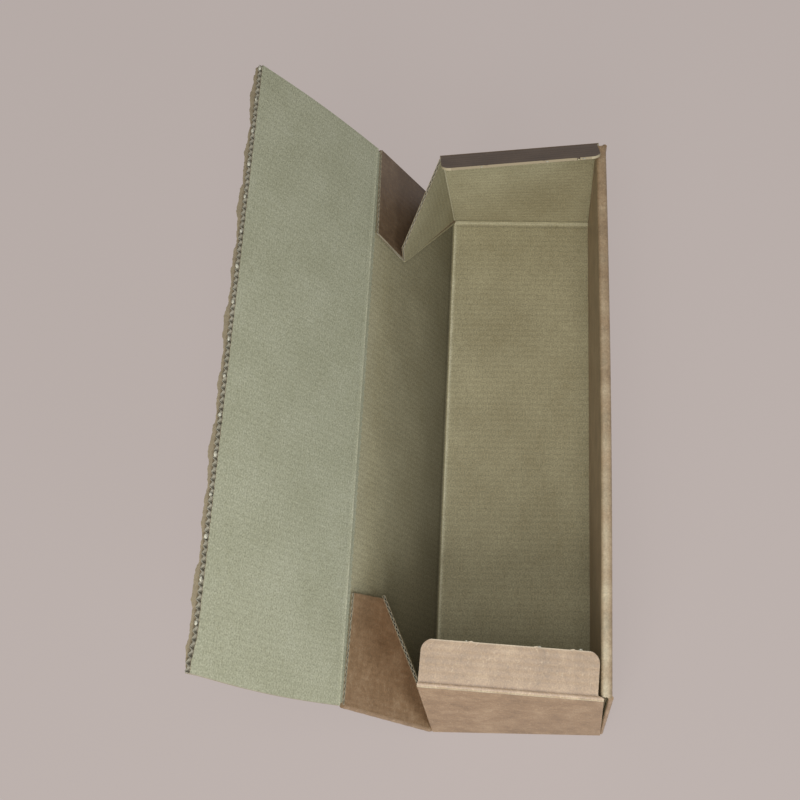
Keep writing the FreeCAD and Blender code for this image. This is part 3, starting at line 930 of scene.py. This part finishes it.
@dataclass
class MainStrip:
    """Left wall, floor, right wall, its narrow top and the panel rolled back down.

    One path in the XZ plane, with round folds, is carried along the box.
    """

    box: BoxSizes = BOX
    foot_gap: float = 0.3
    crease_gap: float = 1.2
    bow: float = 1.2
    radii: tuple[float, ...] = (1.25, 1.3, 1.25, 1.0)

    def path(self) -> FoldedPath:
        """The middle of the board from the lid's crease to the foot of the roll."""
        box, half = self.box, self.box.half
        up, inward = lean_axes(box.side_lean)
        slide = half * (1 - inward[2]) / up[2]
        fold = np.array([box.left, 0, 0]) + inward * half + up * slide
        inner = box.right - box.double_wall + half
        corners = np.array([
            hinge_line(box) - up * self.crease_gap,
            fold,
            [box.right - half, 0, half],
            [box.right - half, 0, box.height - half],
            [inner, 0, box.height - half],
            [inner, 0, box.board + self.foot_gap],
        ])
        return folded_path(corners, list(self.radii), 13.0)

    def end_lines(self, points: Grid) -> tuple[Grid, Grid]:
        """How far the near and the far end are set back at each place on the path.

        Args:
            points: (samples, 3) path.

        Returns:
            Near and far Y of each sample.
        """
        box = self.box
        x, z = points[:, 0], points[:, 2]
        on_left = x < box.left + 1.0
        on_roll = (x < box.right - 2.5) & (z > box.board) & (x > 0)
        lines = []
        for end in (NEAR, FAR):
            lean = end.right_in * z / box.height
            back = np.where(on_left, 2.0 - 0.5 * smooth(z, 0.8, 3.0), 2.0)
            on_right = (x > box.right - 3.5) & (z > 0.9)
            back = np.where(on_right, lean + box.board + 0.1, back)
            back = np.where(on_roll, lean + box.board + 0.35, back)
            lines.append(end.y(box) + end.sign * back)
        return lines[0], lines[1]

    def build(self, materials: Papers) -> Piece:
        """The strip as one closed shell."""
        box = self.box
        path = self.path()
        low, high = self.end_lines(path.points)
        count = int(round(box.length / box.flute_pitch * 4)) + 1
        share = np.linspace(0, 1, count)
        y = low[:, None] + (high - low)[:, None] * share
        mid = np.repeat(path.points[:, None, :], count, axis=1)
        mid[..., 1] = y
        x, z = mid[..., 0], mid[..., 2]
        side = smooth(x, box.right - 8, box.right - 5.5) * np.clip(z / box.height, 0, 1)
        mid[..., 0] += self.bow * side * np.sin(math.pi * share)
        s = path.along[:, None]
        left, right, outer, inner = path.folds
        on_floor = smooth(s, left + 1.0, left + 2.5) * (
            1 - smooth(s, right - 2.5, right - 1.0))
        from_end = box.length / 2 - np.abs(y)
        beads = bells(s, (0.45, left + 0.5, 1.2), (0.2, right, 1.2),
                      (-0.35, left - 2.6, 0.8))
        beads = beads + on_floor * bells(from_end, (0.3, 2.1, 1.0), (-0.25, 4.4, 0.9))
        # Painted highlight along the floor's folds and painted shade in the grooves
        # beside them, also on the floor near each end.
        painted_shading = bells(s, (0.8, left + 0.9, 1.1), (-0.8, left - 2.4, 1.0),
                    (0.4, right, 1.2))
        painted_shading = painted_shading + on_floor * bells(from_end, (0.6, 2.0, 1.0), (-0.45, 4.3, 0.8))
        # Painted shade: the wall is painted lighter beside the lid's crease and darker
        # towards the floor.
        on_side = smooth(left - s, 0.5, 4.0)
        wall_painted_shade = on_side * (0.22 * (1 - smooth(s, 0.0, 18.0))
                          - 0.45 * smooth(s, 6.0, 44.0) - 0.4 * smooth(s, 44.0, 88.0))
        # Painted highlight: the narrow top is painted paler for the glare on it, most at
        # the near end, and along its outer fold.
        top = (outer + inner) / 2
        outer_painted_shading = bells(s, (0.1, outer, 1.0)) + 0.55 * bump(
            s, top + 0.6, 2.0) * (1 - 0.85 * share) + 0.5 * bump(from_end, 1.5, 2.0) * (
                bump(s, top, 3.5) * (share < 0.5))
        dents = 1 + 0.35 * np.sin(y * 0.31) * np.sin(y * 0.083 + 1.0)
        mesh = BoardMesh()
        add_board(mesh, mid, self._inner_side(path), joined(y, s), box,
                  inner_rise=beads * dents, show=0.03, rims=(Side.CUT, Side.CUT),
                  painted_light=(painted_shading * dents + wall_painted_shade, outer_painted_shading * dents))
        return mesh.finish("main_strip", Body.TRAY, materials)

    def _inner_side(self, path: FoldedPath) -> Grid:
        """Direction of the inner facing along the path: the path turned to its left."""
        step = np.gradient(path.points, axis=0)
        turned = np.stack([-step[:, 2], step[:, 1], step[:, 0]], axis=-1)
        return turned[:, None, :]


@dataclass
class EndPanel:
    """An end wall with the flap folded in on top of it, as one bent sheet."""

    end: EndSizes
    box: BoxSizes = BOX
    nick_shares: tuple[float, ...] = (0.25, 0.66, 0.89)
    nick_reach: float = 0.6
    columns: int = 96
    foot_out: float = 0.5
    foot_inset: float = 0.45
    stub: float = 2.0
    fold_radii: tuple[float, float] = (0.85, 0.9)
    bulge: float = 0.5

    def build(self, materials: Papers) -> Piece:
        """A fan of bent paths side by side, from the floor's end to the flap's edge."""
        box, end = self.box, self.end
        ends = EndFrame(end, box)
        half, y = box.half, end.y(box)
        share = np.linspace(0, 1, self.columns)[:, None]
        low_x = box.left + self.foot_inset + share * (box.width - 2 * self.foot_inset)
        start = ends.top_left + ends.left_normal * half
        stop = ends.top_right + ends.right_normal * half
        top = start + (stop - start) * share
        along = unit(stop - start)
        level = np.array([0.0, end.sign, 0.0])
        level = unit(level - along * (level * along).sum())
        upward = np.cross(along, level)
        upward = upward if upward[2] > 0 else -upward
        rise = math.radians(end.flap_rise)
        outward = level * math.cos(rise) + upward * math.sin(rise)
        stub = joined(low_x[:, 0], y + end.sign * self.stub, half)
        foot = joined(low_x[:, 0], y + end.sign * (half - self.foot_out), half)
        corners = np.stack([stub, foot, top, top + outward * box.flap_reach], axis=1)
        path = folded_path(corners, list(self.fold_radii), 0.9)
        points, s = path.points, path.along
        width = float(np.linalg.norm(stop - start))
        reach = s - path.folds[1]
        shift = self._flap_shift(share[:, 0], reach, width)
        points = points + shift[..., None] * along
        last = np.clip((reach - box.flap_reach + 2.0) / 2.0, 0, 1)
        for nick in self.nick_shares:
            bridge = bump(share[:, 0] * width, nick * width, 0.95)
            points = points + (
                self.nick_reach * bridge[:, None] * last)[..., None] * outward
        mid = points.transpose(1, 0, 2)
        mid = mid + self._bulge(s, share[:, 0], path)[..., None] * ends.left_normal
        s_column = s[:, None]
        low_fold, high_fold = path.folds
        beads = bells(s_column, (0.3, low_fold, 1.2)) + np.zeros(mid.shape[:2])
        ridge = bells(s_column, (0.3, high_fold - 0.6, 0.8),
                      (-0.25, high_fold + 1.7, 0.7)) + np.zeros(mid.shape[:2])
        dents = 1 + 0.35 * np.sin(share[:, 0] * 31.0) * np.sin(share[:, 0] * 9.0 + 1.0)
        # Painted highlight along the low fold and painted shade in the groove above it;
        # the same along the high fold on the outer face.
        painted_shading = bells(s_column, (0.65, low_fold, 1.3), (-0.6, low_fold + 2.7, 0.8)) * dents
        outer_painted_shading = bells(s_column, (0.62, high_fold - 0.7, 0.55),
                          (-0.4, high_fold + 1.3, 0.6)) * dents
        # Painted light: the near flap is painted a little lighter for the glare on it and
        # the far one darker for the shade it lies in; the band at each flap's free edge
        # is painted pale, most on the near one.
        outer_painted_shading = outer_painted_shading + (0.06 if end is NEAR else -0.35) * smooth(
            s_column, high_fold + 1, high_fold + 3)
        outer_painted_shading = outer_painted_shading + 0.35 * smooth(
            s_column, s[-1] - 0.8, s[-1]) * (1 if end is NEAR else 0.3)
        # The far flap is painted darker still around its fold: painted shade.
        if end is FAR:
            outer_painted_shading = outer_painted_shading - 0.62 * smooth(s_column, high_fold - 2, high_fold + 2)
        mesh = BoardMesh()
        add_board(mesh, mid, self._inner_side(mid, end.sign),
                  joined(s_column, share[:, 0] * width), box, inner_rise=beads,
                  outer_rise=ridge, show=0.045, painted_light=(painted_shading, outer_painted_shading))
        nicks = np.array(self.nick_shares)[:, None]
        edge = start + along * (end.flap_left_inset + nicks * (
            width - end.flap_left_inset - end.flap_inset)) + outward * box.flap_reach
        add_tufts(mesh, edge, (along, outward, upward), (0.9, 0.75, 0.4), 11)
        return mesh.finish(f"{end.name}_end_wall_and_flap", Body.TRAY, materials)

    def _flap_shift(self, share: Grid, reach: Grid, width: float) -> Grid:
        """How far each point of the flap moves along the crease.

        The flap is set in at both sides just past the crease, and its free corners
        are quarter circles: the side is set in by r minus the root of r squared less
        the square of the distance into the corner.

        Args:
            share: (columns,) place along the crease from 0 to 1.
            reach: (samples,) distance past the crease.
            width: length of the crease.

        Returns:
            (columns, samples) millimetres along the crease.
        """
        box, end = self.box, self.end
        r = box.flap_corner
        into = np.clip(reach - (box.flap_reach - r), 0, r * 0.9999)
        corner = r - np.sqrt(r * r - into * into)
        begin = smooth(reach, 0.2, 1.6)
        left = end.flap_left_inset * begin + corner
        right = end.flap_inset * begin + corner
        place = left + share[:, None] * (width - left - right)
        return np.where(reach > 0, place - share[:, None] * width, 0.0)

    def _bulge(self, s: Grid, share: Grid, path: FoldedPath) -> Grid:
        """The wall bellies by a fraction of a millimetre between its folds."""
        up = np.clip((s - path.folds[0]) / (path.folds[1] - path.folds[0]), 0, 1)
        return -self.bulge * np.sin(math.pi * up)[:, None] * np.sin(math.pi * share)

    def _inner_side(self, mid: Grid, sign: int) -> Grid:
        """Direction of the inner facing: the step along the path turned inward."""
        step = np.gradient(mid, axis=0)
        turned = np.stack([np.zeros_like(step[..., 0]), sign * step[..., 2],
                           -sign * step[..., 1]], axis=-1)
        return turned


@dataclass
class LeftWeb:
    """A web at a left corner: one half lies on the left wall, one hangs on the end."""

    end: EndSizes
    box: BoxSizes = BOX
    lift: float = 1.0
    belly: float = 1.2
    blunt_drop: float = 0.7
    diagonal_radius: float = 1.2

    def build(self, materials: Papers) -> list[Piece]:
        """Both halves, with the folds between them."""
        box, end = self.box, self.end
        ends = EndFrame(end, box)
        up, inward = lean_axes(box.side_lean)
        corner = np.array([box.left, end.y(box), 0.0]) + inward * box.half
        lift = math.radians(self.lift)
        depth = np.array([0.0, end.sign * math.cos(lift), 0.0]) + inward * math.sin(lift)
        facing = unit(inward * math.cos(lift) - np.array(
            [0.0, end.sign * math.sin(lift), 0.0]))
        lying = corner + inward * (box.board + box.layer_gap)
        pieces = [self._lying_half(lying, up, depth, facing, materials)]
        tip = lying + (up + depth) * box.web_fold
        foot = np.array([box.left, end.y(box), 0.0]) + np.array(
            [box.half, end.sign * box.half, box.half])
        top = ends.top_left + (ends.left_normal + ends.along) * box.half
        pieces.append(self._hanging_half(foot, top, tip, materials))
        pieces.append(self._folds(corner, foot, top, tip, up, inward, materials))
        return pieces

    def _lying_half(self, lying: Grid, up: Grid, depth: Grid, facing: Grid,
                    materials: Papers) -> Piece:
        """The half on the wall: flutes run up it, and its brown face shows.

        At a depth v its low edge is the diagonal, u equal to v, and its high edge
        falls slowly to the blunt corner and then steeply to the end of the diagonal.
        """
        box = self.box
        count = int((box.web_fold - 2.0) / box.flute_pitch * 8)
        v = np.linspace(0.5, box.web_fold - 0.35, count)
        blunt = box.web_top - self.blunt_drop
        slope = (blunt - box.web_fold) / (box.web_fold - box.web_top_depth)
        high = np.where(v > box.web_top_depth, blunt - slope * (v - box.web_top_depth),
                        box.web_top - self.blunt_drop * v / box.web_top_depth)
        high = high + 0.12 * np.sin(v * 1.9) * (v < box.web_top_depth)
        low = v + 0.3
        share = np.concatenate([np.linspace(0, 0.96, 16), [0.975, 0.99, 1.0]])[:, None]
        u = low + share * (high - low)
        mid = lying + up * u[..., None] + depth * np.broadcast_to(v, u.shape)[..., None]
        mesh = BoardMesh()
        # Painted shade: the far web is painted dark for the shade it lies in, the near
        # one only a little.
        web_painted_shade = -0.05 if self.end is NEAR else -0.8
        add_corrugated(mesh, mid, facing, joined(v, u), box, (Side.OUTER, Side.INNER),
                       painted_light=web_painted_shade)
        return mesh.finish(f"{self.end.name}_left_web_on_wall", Body.TRAY, materials)

    def _hanging_half(self, foot: Grid, top: Grid, tip: Grid,
                      materials: Papers) -> Piece:
        """The half on the end wall, between its own fold and the diagonal one.

        A point at share c across and r up is the blend by r of the diagonal and the
        free edge, both at c, and it bellies out a little in the middle.
        """
        box = self.box
        rising = unit(top - foot)
        height = float(np.linalg.norm(top - foot))
        across = unit(tip - foot - rising * ((tip - foot) * rising).sum())
        blunt = foot + rising * box.web_tip_up + across * box.web_tip_in
        high_start = foot + rising * (height - 0.6)
        low_start = foot + rising * 2.0
        count = int(box.web_tip_in / box.flute_pitch * 8)
        c = np.linspace(0.02, 1.0, count)[None, :, None]
        r = np.concatenate([np.linspace(0, 0.95, 16), [0.97, 0.985, 1.0]])[:, None, None]
        low = low_start + (tip - low_start) * c
        high = high_start + (blunt - high_start) * c
        mid = low + (high - low) * r
        normal = unit(np.cross(across, rising))
        side = np.array([1.0, self.end.sign * 1.0, 0.0])
        normal = normal if (normal * side).sum() > 0 else -normal
        mid = mid + self.belly * np.sin(math.pi * c) * np.sin(math.pi * r) * normal
        rise = ((mid - foot) * rising).sum(axis=-1)
        mesh = BoardMesh()
        # The hanging half gets a little painted shade.
        add_corrugated(mesh, mid, normal, joined(c[..., 0] * box.web_tip_in, rise), box,
                       (Side.INNER, Side.OUTER), painted_light=-0.1)
        return mesh.finish(f"{self.end.name}_left_web_on_end", Body.TRAY, materials)

    def _folds(self, corner: Grid, foot: Grid, top: Grid, tip: Grid, up: Grid,
               inward: Grid, materials: Papers) -> Piece:
        """The round folds: along the wall's end, on the diagonal, up the end wall."""
        box, sign = self.box, self.end.sign
        mesh = BoardMesh()
        radius = box.board + box.layer_gap / 2 + 0.05
        inset = box.board - (0.9 if self.end is NEAR else 0.0)
        base = corner + inward * 0.7 + np.array([0.0, sign * inset, 0.0])
        steps = 60
        share = np.linspace(0, 1, steps)
        crush = 1 + 0.03 * np.sin(share * 47.0) + 0.02 * np.sin(share * 111.0 + 1.0)
        radii = radius * crush * (0.62 + 0.38 * smooth(share, 0.0, 0.03))
        rings, around, along = rod_rings(
            base + up * 3.0, base + up * (box.web_top - 0.3), radii, 20, inward)
        # Painted shade on the fold along the wall's end, and a little on the diagonal
        # one.
        mesh.tube(rings, around, along, Side.OUTER, -0.25)
        rings, around, along = rod_rings(
            foot + (tip - foot) * 0.02, tip - (tip - foot) * 0.008,
            self.diagonal_radius * crush * (1 - 0.3 * smooth(share, 0.9, 1.0)), 14,
            inward)
        mesh.tube(rings, around, along, Side.INNER, -0.05)
        rising = unit(top - foot)
        height = float(np.linalg.norm(top - foot))
        out = np.array([-0.6, -0.8 * sign, 0.0])
        # Up the end wall the inner bead is painted pale: a painted highlight.
        for shift, slot, size in ((0.22, Side.OUTER, 0.85), (-0.42, Side.INNER, 0.75)):
            start = foot + rising * 1.6 + out * shift
            rings, around, along = rod_rings(
                start, start + rising * (height - 2.4), size * crush, 14, inward)
            mesh.tube(rings, around, along, slot, 0.45 if slot == Side.INNER else 0.0)
        return mesh.finish(f"{self.end.name}_left_web_folds", Body.TRAY, materials)


@dataclass
class RightCorner:
    """The right web, folded flat and held inside the double wall, and its round fold."""

    end: EndSizes
    box: BoxSizes = BOX
    pressed: float = 1.2
    fold_radii: tuple[float, float] = (0.9, 1.3)

    def build(self, materials: Papers) -> Piece:
        """Two pressed layers between the walls and the fold that shows at the corner."""
        box, end = self.box, self.end
        y, sign = end.y(box), end.sign
        slope = math.atan2(end.right_in, box.height)
        up = np.array([0.0, sign * math.sin(slope), math.cos(slope)])
        depth = np.array([0.0, sign * math.cos(slope), -math.sin(slope)])
        first = box.right - box.board - box.layer_gap - self.pressed / 2
        second = first - self.pressed - box.layer_gap
        height = box.height - box.board - 1.2
        mesh = BoardMesh()
        shapes = (
            (first, ((3.0, 4.5), (height, 5.5),
                     (height, box.web_top_depth), (box.web_fold, box.web_fold))),
            (second, ((3.0, 4.0), (height, 5.0),
                      (box.web_tip_up, box.web_tip_in), (box.web_fold, box.web_fold))))
        for x, outline in shapes:
            (u0, v0), (u1, v1), (u2, v2), (u3, v3) = outline
            r = np.linspace(0, 1, 8)[:, None]
            c = np.linspace(0, 1, 60)[None, :]
            u = (u0 + (u3 - u0) * c) * (1 - r) + (u1 + (u2 - u1) * c) * r
            v = (v0 + (v3 - v0) * c) * (1 - r) + (v1 + (v2 - v1) * c) * r
            mid = np.array([x, y, 0.0]) + up * u[..., None] + depth * v[..., None]
            add_board(mesh, mid, np.array([1.0, 0.0, 0.0]), joined(v, u), box, show=0.03,
                      thickness=self.pressed, rims=(Side.WAVES, Side.CUT),
                      slots=(Side.INNER, Side.OUTER))
        low = np.array([box.right + 0.2, y + sign * 1.15, 1.0])
        high = np.array([box.right - 0.8, y + sign * (end.right_in + 1.5),
                         box.height - 1.0])
        share = np.linspace(0, 1, 60)
        low_radius, high_radius = self.fold_radii
        radii = low_radius + (high_radius - low_radius) * share
        radii = radii + 0.04 * np.sin(share * 53.0)
        rings, around, along = rod_rings(low, high, radii, 24, np.array([1.0, 0, 0]))
        mesh.tube(rings, around, along, Side.OUTER)
        return mesh.finish(f"{end.name}_right_corner_fold", Body.TRAY, materials)


@dataclass
class Lid:
    """The lid: its three layers, the skin over its crease, and its torn edge.

    The outer facing was torn lip_reach past the end of the lid, and end_lip at the
    corners. The inner one stops cut_back short of it, and the medium runs medium_reach
    past that. Near the near corner the inner one was left corner_left longer.
    """

    box: BoxSizes = BOX
    lip_reach: float = 2.9
    end_lip: float = 0.5
    cut_back: float = 0.8
    corner_left: float = 2.0
    medium_reach: float = 1.2
    layers_apart: float = 0.95
    barrel: float = 0.010
    bead_radius: float = 0.62
    skin_half: float = 3.0
    skin_end_inset: float = 1.6
    blend_half: float = 1.7
    first_nick: float = 21.4
    nick_pitch: float = 20.2
    nick_width: float = 2.6
    nick_reach: float = 0.55
    lip_waves: tuple[tuple[float, float, float], ...] = (
        (0.68, 33.1, 0.0), (0.45, 71.0, 0.8), (0.3, 11.9, 1.3), (0.13, 5.3, 0.4),
        (0.07, 2.3, 2.0), (0.05, 1.37, 0.9))

    def axes(self) -> tuple[Grid, Grid, Grid]:
        """Hinge point, direction up the lid and its inward normal."""
        up, inward = lean_axes(self.box.lid_lean)
        return hinge_line(self.box), up, inward

    def build(self, materials: Papers) -> list[Piece]:
        """The board, the skin over its crease and the torn bits on its edge."""
        return [self._panel(materials), self._crease(materials),
                self._bridges(materials)]

    def _crease(self, materials: Papers) -> Piece:
        """The unbroken skin over the crease.

        Its section follows the wall before the crease and the lid after it. The lean
        passes smoothly from one to the other, and a low bead runs along the middle.
        """
        box = self.box
        hinge, up, _ = self.axes()
        s = np.array([-self.skin_half, -2.4, -1.8, -1.3, -0.9, -0.5, -0.2, 0.1, 0.4,
                      0.8, 1.2, 1.7, 2.3, self.skin_half])[:, None]
        count = int(round(box.length / box.flute_pitch * 4)) + 1
        y = np.linspace(-box.length / 2, box.length / 2, count)[None, :]
        inset = self.skin_end_inset * (1 - smooth(s, -1.0, 0.5))
        y = y * (1 - inset / (box.length / 2))
        lean = np.radians(box.side_lean
                          + (box.lid_lean - box.side_lean) * smooth(s, -1.0, 1.0))
        side = np.radians(box.side_lean + (box.lid_lean - box.side_lean) * (s > 0))
        dents = 1 + 0.35 * np.sin(y * 0.27) * np.sin(y * 0.11 + 2.0)

        def skin(height: Grid) -> Grid:
            """Points at a height over the middle of the board."""
            x = hinge[0] - s * np.sin(side) + height * np.cos(lean)
            z = hinge[2] + s * np.cos(side) + height * np.sin(lean)
            return joined(x, y, z)

        taper = 1 - smooth(np.abs(s), 1.6, self.skin_half)
        over = box.half + 0.035
        top = over + taper * (0.02 + 0.16 * bump(s, 0.1, 0.6) * dents)
        low = over + taper * 0.04 + 0.08 * bump(s, 0.0, 0.8)
        mesh = BoardMesh()
        # Painted highlight on the bead along the crease and painted shade just on the
        # wall's side of it.
        mesh.shell(skin(top - 0.05 * (1 - taper)), skin(-low + 0.05 * (1 - taper)),
                   joined(y, s), (Side.INNER, Side.OUTER), (Side.CUT, Side.CUT),
                   (0.22 * bump(s, 0.1, 0.7) * dents - 0.1 * bump(s, -1.2, 0.6), 0.0))
        piece = mesh.finish("lid_crease_skin", Body.LID, materials, ride=False)
        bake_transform(piece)
        return piece

    def _panel(self, materials: Papers) -> Piece:
        """The board, with flutes that run up it and show as waves on its free edge."""
        box = self.box
        hinge, up, inward = self.axes()
        s = np.concatenate([[-0.55, -0.25, 0.0, 0.3, 0.6, 1.0, 1.5, 2.2, 3.2, 5.0],
                            np.linspace(9, box.lid_width - 5, 12),
                            box.lid_width - np.array([3.8, 2.9, 2.2, 1.6, 0.0])])
        count = int(round(box.length / box.flute_pitch * 8)) + 1
        y = np.linspace(-box.length / 2, box.length / 2, count)
        from_near = y + box.length / 2
        cut = 0.12 * np.sin(y * 0.9) + 0.08 * np.sin(y * 2.3 + 1.0) - self.cut_back
        cut = cut + self.corner_left * (1 - smooth(from_near, 1.0, 20.0))
        reach = s[:, None] + (s[:, None] > box.lid_width - 0.5) * cut
        barrel = 1 + self.barrel * np.sin(math.pi * np.clip(s / box.lid_width, 0, 1))
        mid = hinge + up * reach[..., None] + np.array([0.0, 1.0, 0.0]) * (
            barrel[:, None] * y)[..., None]
        lip = self.lip_reach + ragged(y, self.lip_waves)
        edge = smooth(from_near, 0.0, 16.0) * smooth(box.length / 2 - y, 0.0, 3.0)
        lip = self.end_lip + (lip - self.end_lip) * edge
        curl = 0.10 * lip + 0.12 * np.sin(y * 0.7)
        reach_3d = up * lip[:, None] - inward * curl[:, None] * 0.5
        rise = -0.06 * (1 - smooth(s, 1.8, 3.0))
        dents = 1 + 0.35 * np.sin(y * 0.27) * np.sin(y * 0.11 + 2.0)
        # Painted shade in a band beside the crease on the lid.
        painted_shading = -0.12 * bump(s, 2.6, 1.2)[:, None] * dents
        mesh = BoardMesh()
        add_corrugated(mesh, mid, inward, joined(y, reach), box,
                       (Side.INNER, Side.OUTER), reach_3d,
                       rise[:, None] * np.ones_like(reach), crushed_rows=7, painted_light=painted_shading,
                       medium_reach=self.medium_reach, show=0.015,
                       medium_edge=Side.TORN, spread=self.layers_apart * smooth(
                           s, box.lid_width - 5.0, box.lid_width))
        rings, around, along = rod_rings(
            hinge + np.array([0.0, -box.length / 2, 0.0]),
            hinge + np.array([0.0, box.length / 2, 0.0]),
            np.full(40, self.bead_radius), 12, inward)
        mesh.tube(rings, around, along, Side.INNER)
        return mesh.finish("lid_panel", Body.LID, materials)

    def _bridges(self, materials: Papers) -> Piece:
        """Tufts of paper left where the knife skipped, one every 20 mm.

        They stand in a row on the cut edge, at the pitch of the knife's gaps.
        """
        box = self.box
        hinge, up, inward = self.axes()
        mesh = BoardMesh()
        places = np.arange(self.first_nick, box.length - self.nick_width, self.nick_pitch)
        along = np.array([0.0, 1.0, 0.0])
        centres = (hinge + up * (box.lid_width + 0.1) - inward * 0.3
                   + along * (places + (self.nick_width - box.length) / 2)[:, None])
        add_tufts(mesh, centres, (along, up, inward),
                  (self.nick_width / 2, self.nick_reach + 0.25, 0.6), 7)
        return mesh.finish("lid_torn_bridges", Body.LID, materials)


# ---------------------------------------------------------------- the stage


@dataclass(frozen=True)
class Lamp:
    """A square soft light: place and side in metres, power in watts, and its tint."""

    name: str
    place: tuple[float, float, float]
    size: float
    watts: float
    tint: tuple[float, float, float] = (1.0, 0.98, 0.95)


LAMPS = (
    Lamp("overhead_light", (-0.05, -0.33, 1.0), 0.45, 3.9),
    Lamp("near_light", (-0.15, -0.90, 0.72), 0.55, 8.0),
    Lamp("right_light", (0.62, -0.75, 0.62), 0.45, 4.8, (0.84, 0.92, 1.0)),
)


@dataclass(frozen=True)
class Stage:
    """Floor, light and camera. The camera was fitted to the box's own corners.

    The floor is a paper whose colour shows as it is, by even_share, to the rays that
    come from the camera. The rest of it is lit, and keeps the box's shadow.
    """

    floor_hex: str = "#BBB0AC"
    floor_side: float = 4.0
    floor_drop: float = 0.0002
    even_share: float = 0.85
    sky_strength: float = 0.20
    aim: tuple[float, float, float] = (-0.02, 0.0, 0.05)
    focal_mm: float = 57.24
    shift_x: float = -0.125
    location: tuple[float, float, float] = (-0.000455, -0.266253, 0.72626)
    turn: tuple[float, float, float] = (22.697, 2.466, -1.313)

    def floor(self) -> None:
        """A wide plain sheet of pale paper under the box, matt with a faint tooth."""
        grid = np.linspace(-self.floor_side, self.floor_side, 3)
        x, y = np.meshgrid(grid, grid, indexing="ij")
        points = joined(x, y, -self.floor_drop).reshape(-1, 3)
        index = np.arange(9).reshape(3, 3)
        quads = np.stack([index[:-1, :-1], index[1:, :-1], index[1:, 1:],
                          index[:-1, 1:]], axis=-1).reshape(-1, 4)
        mesh = bpy.data.meshes.new("stage_floor")
        mesh.from_pydata(points.tolist(), [], quads.tolist())
        material = bpy.data.materials.new("backdrop_paper")
        tree = empty_tree(material)
        shader = add_node(tree, "BsdfPrincipled", {
            "Base Color": linear(self.floor_hex), "Roughness": 0.95,
            "Specular IOR Level": 0.1})
        even = add_node(tree, "Emission", {"Color": linear(self.floor_hex),
                                           "Strength": 1.0})
        rays = add_node(tree, "LightPath").outputs
        seen = maths(tree, "MAXIMUM", rays["Is Camera Ray"], rays["Is Glossy Ray"])
        seen = maths(tree, "MAXIMUM", seen, rays["Is Transmission Ray"])
        mixed = add_node(tree, "MixShader", {}, {
            0: maths(tree, "MULTIPLY", seen, self.even_share), 1: shader.outputs[0],
            2: even.outputs[0]})
        add_node(tree, "OutputMaterial", {}, {0: mixed.outputs[0]})
        mesh.materials.append(material)
        piece = place("stage_floor", mesh)

    def lamp(self, lamp: Lamp) -> None:
        """Hangs a square soft light that faces the middle of the box."""
        data = bpy.data.lights.new(lamp.name, "AREA")
        data.shape, data.size, data.energy = "SQUARE", lamp.size, lamp.watts
        data.color = lamp.tint
        light = place(lamp.name, data)
        light.location = lamp.place
        light.visible_camera = False
        aim = np.array(lamp.place) - np.array(self.aim)
        azimuth = math.atan2(aim[1], aim[0])
        tilt = math.atan2(math.hypot(aim[0], aim[1]), aim[2])
        light.rotation_euler = (Matrix.Rotation(azimuth, 3, "Z")
                                @ Matrix.Rotation(tilt, 3, "Y")).to_euler()

    def world(self) -> None:
        """An even grey sky, which fills the shadows."""
        world = bpy.data.worlds.new("studio")
        tree = empty_tree(world)
        sky = add_node(tree, "Background", {"Color": (1.0, 0.99, 0.97, 1.0),
                                            "Strength": self.sky_strength})
        backdrop = add_node(tree, "Background", {"Color": linear(self.floor_hex),
                                                 "Strength": 1.0})
        rays = add_node(tree, "LightPath")
        mixed = add_node(tree, "MixShader", {}, {
            0: rays.outputs["Is Camera Ray"], 1: sky.outputs[0],
            2: backdrop.outputs[0]})
        add_node(tree, "OutputWorld", {}, {0: mixed.outputs[0]})
        bpy.context.scene.world = world

    def camera(self) -> None:
        """The fitted camera, taken for a square picture of 800 by 800."""
        data = bpy.data.cameras.new("photo_camera")
        data.lens, data.sensor_width = self.focal_mm, 36.0
        data.sensor_fit = "HORIZONTAL"
        data.shift_x = self.shift_x
        data.clip_start, data.clip_end = 0.01, 20.0
        pitch, yaw, roll = (math.radians(a) for a in self.turn)
        camera = place("photo_camera", data)
        turn = (Matrix.Rotation(yaw, 3, "Z") @ Matrix.Rotation(pitch, 3, "X")
                @ Matrix.Rotation(roll, 3, "Z"))
        camera.rotation_euler = turn.to_euler()
        camera.location = self.location
        bpy.context.scene.camera = camera

    def build(self) -> None:
        """Puts the whole stage up."""
        self.camera()
        self.floor()
        self.world()
        for lamp in LAMPS:
            self.lamp(lamp)
        bpy.context.scene.view_settings.view_transform = "Standard"


def main() -> None:
    """Builds the stage and then each part of the box, and logs every piece."""
    logging.basicConfig(level=logging.INFO, format="%(name)s: %(message)s")
    Stage().build()
    materials = BoardFinishes().build()
    MainStrip().build(materials)
    for end in (NEAR, FAR):
        EndPanel(end).build(materials)
        LeftWeb(end).build(materials)
        RightCorner(end).build(materials)
    Lid().build(materials)


if __name__ == "__main__":
    main()
